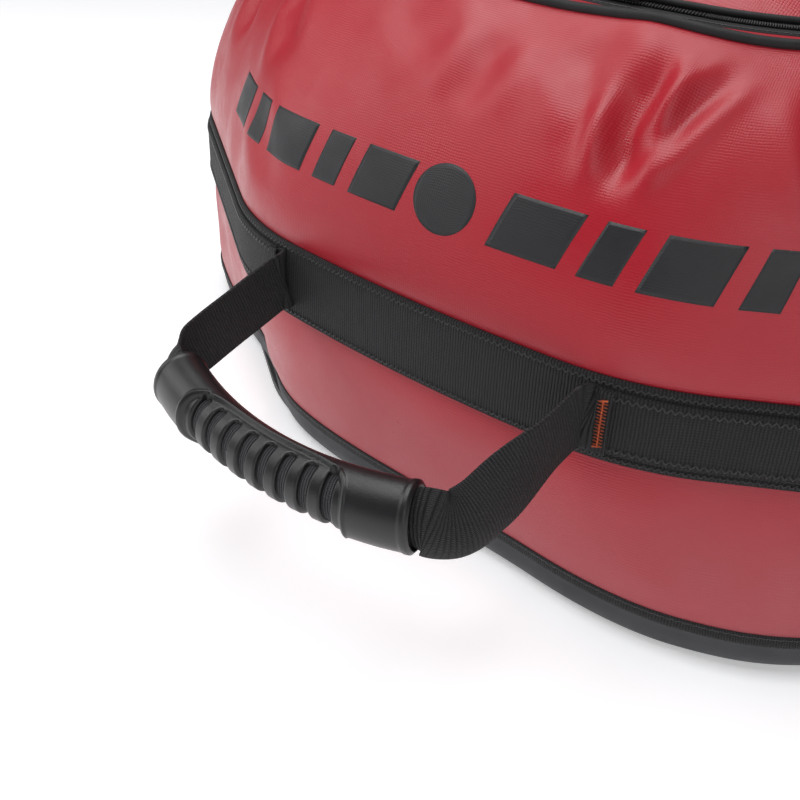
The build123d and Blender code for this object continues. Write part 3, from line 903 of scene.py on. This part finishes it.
def grip_points(settings):
    """Closed surface of one grip: its outside, both lips and its bore."""
    run = np.concatenate((np.linspace(-GRIP_HALF, -50 * MM, 46), np.linspace(-49.8 * MM, 49.8 * MM, 480),
                          np.linspace(50 * MM, GRIP_HALF, 46)))
    turn = np.linspace(0, 2 * math.pi, 160, endpoint=False)
    run_grid, turn_grid = np.meshgrid(run, turn, indexing="ij")
    depth, tall = grip_sizes(run_grid)
    dip, rim = grip_field(run_grid, turn_grid, settings)
    outside = rolled(run_grid, turn_grid, depth - dip + rim, tall - dip + rim, settings)
    bore_run = np.linspace(GRIP_HALF, -GRIP_HALF, 30)
    bore_grid, bore_turn = np.meshgrid(bore_run, turn, indexing="ij")
    flare = step(np.abs(bore_grid), GRIP_HALF - 4 * MM, GRIP_HALF) * 0.8 * MM
    narrow = 1 - step(np.abs(bore_grid), 46 * MM, 60 * MM)
    bore = rolled(bore_grid, bore_turn, 9.4 * MM + flare - 7 * MM * narrow,
                  12.6 * MM + flare - 9 * MM * narrow, settings)
    return np.concatenate((outside, bore), 0), np.concatenate((run, bore_run, run[:1]))


def core_points(settings):
    """Rolled webbing inside the grip, seen through its slots."""
    run = np.linspace(-48 * MM, 48 * MM, 160)
    turn = np.linspace(0, 2 * math.pi, 56, endpoint=False)
    run_grid, turn_grid = np.meshgrid(run, turn, indexing="ij")
    points = rolled(run_grid, turn_grid, 8.2 * MM, 10.6 * MM, settings)
    return points, np.append(run, run[-1]), np.append(turn, 2 * math.pi) * 9 * MM


def bezier(p0, p1, p2, p3, count):
    """Points along a cubic curve from p0 to p3."""
    share = np.linspace(0, 1, count)[:, None]
    rest = 1 - share
    return rest**3 * p0 + 3 * rest**2 * share * p1 + 3 * rest * share**2 * p2 + share**3 * p3


def leg_path(fold_x):
    """Centre line of the right-hand webbing: along the band, out at the fold, round to the mouth."""
    lift = BAND_THICK + STRAP_THICK * 1.5 + 0.1 * MM
    on_wall = wall_point(np.linspace(fold_x + 9 * MM, fold_x + 2 * MM, 6), BAND_MID, lift)
    tangent = math.asin(GRIP_HALF_SPAN / GRIP_R)
    mouth = np.array((GRIP_HALF_SPAN, -GRIP_END_REACH, 0.0))
    aim = np.array((math.cos(tangent), math.sin(tangent), 0.0))
    fold = np.array((fold_x - 2 * MM, 5.0 * MM, 0.0))
    corner = mouth + 16 * MM * aim + (0, 0, -4.5 * MM)
    back = unit(fold - corner)
    near, far = mouth + 5 * MM * aim, corner + 15 * MM * back
    bend = bezier(far, corner + 5 * MM * back, corner - 4 * MM * aim, near, 24)
    straight, last = np.linspace(fold, far, 30)[:-1], np.linspace(near, mouth, 6)[1:]
    out = handle_place(np.concatenate((straight, bend, last)))
    inside = handle_place(grip_bend(np.linspace(GRIP_HALF, GRIP_HALF - 14 * MM, 8)[1:], 0.0, np.zeros(7)))
    turn_in = bezier(on_wall[-1], on_wall[-1] + (-3.2 * MM, -0.4 * MM, 0),
                     out[0] + (0.3 * MM, 3.2 * MM, 0.6 * MM), out[0], 12)[1:-1]
    path = np.concatenate((on_wall, turn_in, out, inside))
    run = lengths(path)
    even = np.linspace(0, run[-1], 190)
    return np.stack([np.interp(even, run, path[:, axis]) for axis in range(3)], -1)


def leg_points(settings, side):
    """Strip of webbing that lies flat on the band and rolls up towards the grip."""
    path = leg_path(RIGHT_FOLD if side > 0 else LEFT_FOLD)
    for _ in range(8):
        path[1:-1] = (path[:-2] + 2 * path[1:-1] + path[2:]) / 4
    run = lengths(path)
    forward = unit(np.gradient(path, axis=0))
    share = step(run, run[-1] * 0.16, run[-1] * 0.42)
    tilt = (DROOP - settings.roll) * share
    upright = np.stack((np.zeros_like(tilt), -np.sin(tilt), np.cos(tilt)), -1)
    upright = unit(upright - forward * (upright * forward).sum(1)[:, None])
    face = unit(np.cross(upright, forward))
    # The right leg turns its face up between its middle and the bend.
    twist = step(run, run[-1] * 0.25, run[-1] * 0.6) * (1 - step(run, run[-1] * 0.74, run[-1] * 0.88))
    twist = (math.radians(24) if side > 0 else 0.0) * twist[:, None]
    upright, face = (upright * np.cos(twist) - face * np.sin(twist),
                     face * np.cos(twist) + upright * np.sin(twist))
    early, late = (0.28, 0.84) if side > 0 else (0.45, 0.92)
    curl = 0.12 + (settings.curl - 0.12) * step(run, run[-1] * early, run[-1] * late)
    half_width, half_thick = 15 * MM, STRAP_THICK / 2
    across = np.linspace(-1, 1, 25) * half_width
    radius = (2 * half_width / curl)[:, None]
    push = 0.5 + 0.35 * step(run, run[-1] * 0.7, run[-1] * 0.88)[:, None]
    angle = across[None, :] / radius
    # Each leg's lower edge bulges just outside the grip's mouth.
    swell = (np.exp(-((run - run[-1] + 19 * MM) / (5 * MM)) ** 2)[:, None]
             * np.clip(-across / half_width, 0, 1) * 2.4 * MM)
    rows = []
    for offset, order in ((half_thick, 1), (-half_thick, -1)):
        reach = radius + offset
        sag = radius * (1 - np.cos(curl[:, None] / 2)) * push
        sideways = reach * np.sin(angle) - swell
        outward = reach * np.cos(angle) - radius + sag
        sheet = (path[:, None] + upright[:, None] * sideways[..., None] + face[:, None] * outward[..., None])
        rows.append(sheet[:, ::order])
    slack = waves(rows[0], 60 * MM, 31 + side) * 0.5 * MM * step(run, run[-1] * 0.2, run[-1] * 0.4)[:, None]
    points = np.concatenate(rows, 1)
    points = points + face[:, None] * np.concatenate((slack, slack[:, ::-1]), 1)[..., None]
    lay_v = np.concatenate((across, across[::-1], across[:1]))
    return points, np.append(run, run[-1]), lay_v


def build_handle(front):
    """Grip, the webbing through it and the two legs that fold out of the band."""
    settings = bpy.context.scene.kit_bag_handle
    side, body = ("front", "front_handle") if front else ("rear", "rear_handle")
    where = (lambda points: points) if front else turned
    points, lay_u = grip_points(settings)
    lay_v = np.linspace(0, 84 * MM, points.shape[1] + 1)
    grip = grid_object(side + "_grip_moulding", where(handle_place(points)), lay_u, lay_v, MATERIALS["grip"],
                       wrap_u=True, wrap_v=True)
    settle(grip, body, "grip_plastic", side + "_grip")
    points, lay_u, lay_v = core_points(settings)
    core = grid_object(side + "_grip_core", where(handle_place(points)), lay_u, lay_v, MATERIALS["core"],
                       wrap_v=True)
    close_ends(core, *points.shape[:2])
    settle(core, body, "webbing")
    for name, mirror in (("right", 1), ("left", -1)):
        points, lay_u, lay_v = leg_points(settings, mirror)
        points = where(points * (mirror, 1, 1))
        leg = grid_object(f"{side}_{name}_leg", points, lay_u, lay_v, MATERIALS["strap"], wrap_v=True)
        close_ends(leg, *points.shape[:2])
        if mirror < 0:
            leg.data.flip_normals()
        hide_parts(side + "_handle_webbing", side + "_handle_anchors")
        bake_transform(leg)


# ---------------------------------------------------------------- deck, lid and zip

def deck_line(along, inset, rear_y):
    """Outline on the deck at an inset, cut off straight behind."""
    x, y = outline(TOP, along, inset)
    return x, np.minimum(y, rear_y)


def build_deck():
    """Fixed top panel with a piped outer edge."""
    along = np.linspace(0, ROUND, 520, endpoint=False)
    outer_x, outer_y = outline(TOP, along)
    inner_x, inner_y = deck_line(along, ZIP_TAPE_OUTER, DECK_FRONT_Y)
    rows = []
    for share in np.linspace(0, 1, 9):
        x, y = outer_x + (inner_x - outer_x) * share, outer_y + (inner_y - outer_y) * share
        flat = np.stack((x, y, np.full_like(x, DECK_Z)), -1)
        swell = 2.4 * math.sin(math.pi * share) * step(y, 40 * MM, 80 * MM) * MM
        flat[:, 2] = flat[:, 2] + (0.6 * MM + swell + waves(flat, 70 * MM, 41) * 0.5 * MM)
        rows.append(flat)
    points = np.stack(rows, 1)
    deck = grid_object("deck_panel", points, np.linspace(0, ROUND, len(along) + 1), lengths(points[0]),
                       MATERIALS["red"], wrap_u=True)
    give_thickness(deck, FABRIC, MATERIALS["lining"])
    settle(deck, "bag", "red_fabric", "deck")
    top = BAND_TOP + LEAN_R * LEAN_ANGLE
    edge = wall_point(along, np.full_like(along, top), 0.6 * MM)
    settle(thread("deck_piping", [edge], 2.1 * MM, MATERIALS["binding"], cyclic=True, sides=4),
           "bag", "webbing")


def zip_span(inset, rear_y):
    """Lengths along the outline between which a strip at an inset is in front of a line."""
    along = np.linspace(-ROUND / 2, ROUND / 2, 2400)
    y = outline(TOP, along, inset)[1]
    ahead = along[y < rear_y]
    return ahead[0], ahead[-1]


def zip_band(name, outer, inner, z, body, nodes, thick=0.7 * MM):
    """Flat tape that follows the zip round the front and both ends."""
    begin, finish = zip_span((outer + inner) / 2, LID_REAR_Y)
    along = np.linspace(begin, finish, 420)
    rows = [np.stack((*deck_line(along, inset, LID_REAR_Y), np.full_like(along, z)), -1)
            for inset in np.linspace(outer, inner, 5)]
    points = np.stack(rows, 1)
    tape = grid_object(name, points, along, np.linspace(0, abs(inner - outer), 5), MATERIALS["zip_tape"])
    give_thickness(tape, thick)
    return settle(tape, body, "zip_tape", *nodes)


def coil(inset, z, phase, flip):
    """One side's nylon coil as a flattened spring along the zip."""
    begin, finish = zip_span(inset, LID_REAR_Y - 2 * MM)
    pitch = 1.5 * MM
    turns = np.arange(0, (finish - begin) / pitch, 1 / 10)
    along = begin + turns * pitch
    swing = np.sin(turns * 2 * math.pi + phase) * 0.95 * MM * flip
    lift = np.cos(turns * 2 * math.pi + phase) * 0.55 * MM
    x, y = outline(TOP, along, inset)
    x2, y2 = outline(TOP, along, inset + 1 * MM)
    inward = np.stack((x2 - x, y2 - y), -1) / (1 * MM)
    return np.stack((x + inward[:, 0] * swing, y + inward[:, 1] * swing, z + lift), -1)


def build_zip():
    """Tapes and coils of both sides, and stitching beside the tapes."""
    zip_band("outer_tape", ZIP_TAPE_OUTER - 2 * MM, ZIP_MIDDLE - 1.2 * MM, DECK_Z + 0.9 * MM, "bag",
             ["outer_zip_tape"])
    zip_band("inner_tape", ZIP_MIDDLE + 1.2 * MM, ZIP_TAPE_INNER, DECK_Z + 0.9 * MM, "lid",
             ["inner_zip_tape"])
    coil_z = DECK_Z + 1.55 * MM
    for name, inset, phase, flip, body, node in (
            ("outer_coil", ZIP_MIDDLE - 0.85 * MM, 0.0, 1, "bag", "outer_zip_coil"),
            ("inner_coil", ZIP_MIDDLE + 0.85 * MM, math.pi, -1, "lid", "inner_zip_coil")):
        line = coil(inset, coil_z, phase, flip)
        settle(thread(name, [line], 0.36 * MM, MATERIALS["coil"]), body, "zip_coil", node)
    begin, finish = zip_span(ZIP_TAPE_OUTER, LID_REAR_Y)
    along = np.linspace(begin, finish, 640)
    x, y = deck_line(along, ZIP_TAPE_OUTER + 0.6 * MM, LID_REAR_Y)
    seam = np.stack((x, y, DECK_Z + 1.05 * MM + np.where(np.arange(640) % 2, 0.12, -0.12) * MM), -1)
    settle(thread("zip_tape_stitches", [seam], 0.26 * MM, MATERIALS["dark_thread"]), "bag", "thread")


def lid_boundary(count):
    """Edge of the lid's panel: the zip's line in front, a straight fold behind."""
    along = np.linspace(0, ROUND, count, endpoint=False)
    x, y = deck_line(along, ZIP_TAPE_INNER - 3 * MM, LID_REAR_Y - 0.5 * MM)
    return np.stack((x, y), -1)


def lid_points():
    """Crowned lid with soft pull lines towards its corners."""
    edge = lid_boundary(420)
    middle = np.array((0.0, (edge[:, 1].min() + edge[:, 1].max()) / 2))
    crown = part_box("lid_panel")[1].z - DECK_Z - 3 * MM
    rows = []
    for share in np.concatenate((np.linspace(1, 0.9, 8), np.linspace(0.87, 0.03, 34))):
        flat = middle + (edge - middle) * share
        height = 2.4 * MM + crown * (1 - share**3.2) ** 0.85
        spot = np.column_stack((flat, np.full(len(flat), height)))
        pull = (1 - share) * share**2 * 6.7
        level = spot * (1, 1, 0)
        wrinkle = (waves(level, 95 * MM, 51) * 2.0 + waves(level, 38 * MM, 52) * 0.7) * MM
        spot[:, 2] += DECK_Z + pull * wrinkle
        rows.append(spot)
    return np.stack(rows, 1)


def build_lid():
    """Crowned panel and its piped edge."""
    points = lid_points()
    piece = grid_object("lid_fabric", points, np.linspace(0, 1.0, len(points) + 1), lengths(points[0]),
                        MATERIALS["red"], wrap_u=True)
    lay = np.zeros(len(piece.data.loops) * 2, np.float32)
    corner_points = np.array([piece.data.vertices[loop.vertex_index].co[:2] for loop in piece.data.loops])
    lay[:] = corner_points.astype(np.float32).ravel()
    piece.data.uv_layers["lay"].data.foreach_set("uv", lay)
    cap_lid(piece, len(points), points.shape[1])
    give_thickness(piece, FABRIC, MATERIALS["lining"])
    settle(piece, "lid", "red_fabric", "lid_panel")
    rim = points[:, 0] + (0, 0, 0.6 * MM)
    piping = thread("lid_piping", [rim], 1.5 * MM, MATERIALS["binding"], cyclic=True, sides=4)
    settle(piping, "lid", "webbing")


def cap_lid(piece, count_u, count_v):
    """Fills the small hole at the crown of the lid."""
    mesh = piece.data
    faces = [tuple(face.vertices) for face in mesh.polygons]
    points = [tuple(vertex.co) for vertex in mesh.vertices]
    hole = tuple(i * count_v + count_v - 1 for i in range(count_u))
    fresh = bpy.data.meshes.new(mesh.name)
    fresh.from_pydata(points, [], [*faces, hole])
    lay = np.array([points[loop.vertex_index][:2] for loop in fresh.loops], np.float32)
    fresh.uv_layers.new(name="lay").data.foreach_set("uv", lay.ravel())
    fresh.shade_smooth()
    for material in mesh.materials:
        fresh.materials.append(material)
    piece.data = fresh
    bpy.data.meshes.remove(mesh)


def build_hinge_fold():
    """Tape arched between the deck and the lid's rear edge."""
    low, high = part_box("lid_hinge_tape")
    share = np.linspace(0, 1, 14)
    x = np.linspace(low.x, high.x, 90)
    y = LID_REAR_Y - 3 * MM + share * (DECK_FRONT_Y + 2 * MM - LID_REAR_Y + 3 * MM)
    z = DECK_Z + 1.7 * MM + 0.8 * MM * np.sin(math.pi * share)
    points = np.stack(np.broadcast_arrays(x[:, None], y[None, :], z[None, :]), -1).copy()
    fold = grid_object("lid_fold_tape", points, x, y, MATERIALS["zip_tape"])
    give_thickness(fold, 0.8 * MM)
    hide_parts("lid_hinge_tape")
    apply_modifiers(fold)
    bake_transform(fold)


def apply_modifiers(piece):
    """Makes a piece's modifiers part of its mesh."""
    bpy.context.view_layer.update()
    shaped = piece.evaluated_get(bpy.context.evaluated_depsgraph_get())
    piece.data = bpy.data.meshes.new_from_object(shaped)
    piece.modifiers.clear()


# ---------------------------------------------------------------- kept frame pieces

def finish_fittings():
    """Finishes for the frame's own solids that show as they are."""
    wanted = {"base_board": "board", "left_zip_slider": "metal", "right_zip_slider": "metal",
              "left_zip_pull": "metal", "right_zip_pull": "metal"}
    for node, material in wanted.items():
        solid = frame["nodes"][node]
        solid.data.materials.clear()
        solid.data.materials.append(MATERIALS[material])


# ---------------------------------------------------------------- stage

def aim(thing, target):
    direction = Vector(target) - thing.location
    thing.rotation_euler = direction.to_track_quat("-Z", "Y").to_euler()


def soft_light(name, place, target, size, power, color=(1, 1, 1)):
    lamp = bpy.data.lights.new(name, "AREA")
    lamp.shape = "RECTANGLE"
    lamp.size, lamp.size_y = size
    lamp.energy = power
    lamp.color = color
    light = bpy.data.objects.new(name, lamp)
    bpy.context.scene.collection.objects.link(light)
    light.location = place
    aim(light, target)


CAMERA_PLACE = (281.5 * MM, -492.4 * MM, 343 * MM)
CAMERA_TURN, CAMERA_PITCH, CAMERA_ROLL = (math.radians(angle) for angle in (41.05, 57.25, 1.9))


def build_stage():
    """Pale floor, soft lights and the camera."""
    settings = bpy.context.scene.kit_bag_stage
    material, nodes, shader = new_material("Studio Floor", 0.6, 0.3)
    tint = nodes.shade((*settings.floor_color, 1), nodes.remap(nodes.noise(4.0, 4.0), 0.3, 0.7, 0.985, 1.0))
    nodes.tree.links.new(tint, shader.inputs["Base Color"])
    shader.inputs["Emission Color"].default_value = (1, 1, 1, 1)
    shader.inputs["Emission Strength"].default_value = settings.floor_glow
    size = 6.0
    corners = np.array([[(-size, -size, 0), (-size, size, 0)], [(size, -size, 0), (size, size, 0)]], float)
    floor = grid_object("studio_floor", corners, np.array((0.0, 1)), np.array((0.0, 1)), material)

    world = bpy.context.scene.world or bpy.data.worlds.new("Studio")
    bpy.context.scene.world = world
    world.use_nodes = True
    world.node_tree.nodes["Background"].inputs["Color"].default_value = (0.95, 0.97, 1.0, 1)
    world.node_tree.nodes["Background"].inputs["Strength"].default_value = 0.16
    power = settings.key_power
    soft_light("Overhead Box", (-0.3, -0.15, 1.5), (0, 0, 0.1), (1.5, 1.1), power)
    soft_light("Left Strip", (-1.3, -0.9, 0.9), (0, -0.1, 0.1), (0.9, 1.2), power * 0.45)
    soft_light("Right Fill", (1.3, -1.1, 0.8), (0, -0.1, 0.1), (1.2, 1.2), power * 0.35)

    lens = bpy.data.cameras.new("Camera")
    lens.lens = settings.lens
    lens.clip_start = 0.01
    camera = bpy.data.objects.new("Camera", lens)
    bpy.context.scene.collection.objects.link(camera)
    camera.matrix_world = (Matrix.Translation(CAMERA_PLACE) @ Matrix.Rotation(CAMERA_TURN, 4, "Z")
                           @ Matrix.Rotation(CAMERA_PITCH, 4, "X") @ Matrix.Rotation(CAMERA_ROLL, 4, "Z"))
    bpy.context.scene.camera = camera
    bpy.context.scene.view_settings.view_transform = "Standard"


# ---------------------------------------------------------------- operators and panel

class KITBAG_OT_materials(bpy.types.Operator):
    """Make every finish from the chosen colours"""

    bl_idname = "kit_bag.materials"
    bl_label = "Make Finishes"

    def execute(self, context):
        make_materials(context.scene.kit_bag)
        return {"FINISHED"}


class KITBAG_OT_base(bpy.types.Operator):
    """Build the black tray and the binding over its seam"""

    bl_idname = "kit_bag.base"
    bl_label = "Base"

    def execute(self, context):
        build_base()
        build_binding()
        return {"FINISHED"}


class KITBAG_OT_walls(bpy.types.Operator):
    """Build the fabric walls and the bars printed on them"""

    bl_idname = "kit_bag.walls"
    bl_label = "Walls"

    def execute(self, context):
        build_walls()
        build_print()
        return {"FINISHED"}


class KITBAG_OT_webbing(bpy.types.Operator):
    """Build the band, the straps on it and their stitching"""

    bl_idname = "kit_bag.webbing"
    bl_label = "Band and Straps"

    def execute(self, context):
        build_band()
        build_straps()
        build_bartacks()
        return {"FINISHED"}


class KITBAG_OT_handle(bpy.types.Operator):
    """Build one long-side handle: grip, core and legs"""

    bl_idname = "kit_bag.handle"
    bl_label = "Handle"

    front: bpy.props.BoolProperty(name="Front", description="Build the front handle", default=True)

    def execute(self, context):
        build_handle(self.front)
        return {"FINISHED"}


class KITBAG_OT_top(bpy.types.Operator):
    """Build the deck, the zip and the lid"""

    bl_idname = "kit_bag.top"
    bl_label = "Deck, Zip and Lid"

    def execute(self, context):
        build_deck()
        build_zip()
        build_lid()
        build_hinge_fold()
        return {"FINISHED"}


class KITBAG_OT_fittings(bpy.types.Operator):
    """Give the board, sliders and pulls their finishes"""

    bl_idname = "kit_bag.fittings"
    bl_label = "Fittings"

    def execute(self, context):
        finish_fittings()
        return {"FINISHED"}


class KITBAG_OT_stage(bpy.types.Operator):
    """Set up the floor, the lights and the camera"""

    bl_idname = "kit_bag.stage"
    bl_label = "Stage"

    def execute(self, context):
        build_stage()
        return {"FINISHED"}


class KITBAG_PT_panel(bpy.types.Panel):
    bl_idname = "KITBAG_PT_panel"
    bl_label = "Kit Bag"
    bl_space_type = "VIEW_3D"
    bl_region_type = "UI"
    bl_category = "Kit Bag"

    def draw(self, context):
        for group in ("kit_bag", "kit_bag_handle", "kit_bag_stage"):
            box = self.layout.box()
            settings = getattr(context.scene, group)
            for name in settings.__annotations__:
                box.prop(settings, name)
        for step_name in ("materials", "base", "walls", "webbing", "handle", "top", "fittings",
                          "stage"):
            self.layout.operator("kit_bag." + step_name)


CLASSES = (KitBagSettings, KitBagHandleSettings, KitBagStageSettings, KITBAG_OT_materials, KITBAG_OT_base,
           KITBAG_OT_walls, KITBAG_OT_webbing, KITBAG_OT_handle, KITBAG_OT_top,
           KITBAG_OT_fittings, KITBAG_OT_stage, KITBAG_PT_panel)
SETTINGS = {"kit_bag": KitBagSettings, "kit_bag_handle": KitBagHandleSettings,
            "kit_bag_stage": KitBagStageSettings}


def register():
    for cls in CLASSES:
        bpy.utils.register_class(cls)
    for name, group in SETTINGS.items():
        setattr(bpy.types.Scene, name, bpy.props.PointerProperty(type=group))


def unregister():
    for name in SETTINGS:
        delattr(bpy.types.Scene, name)
    for cls in reversed(CLASSES):
        bpy.utils.unregister_class(cls)


def main():
    register()
    bpy.ops.kit_bag.materials()
    bpy.ops.kit_bag.base()
    bpy.ops.kit_bag.walls()
    bpy.ops.kit_bag.webbing()
    for near_side in (True, False):
        bpy.ops.kit_bag.handle(front=near_side)
    bpy.ops.kit_bag.top()
    bpy.ops.kit_bag.fittings()
    bpy.ops.kit_bag.stage()


if __name__ == "__main__":
    main()
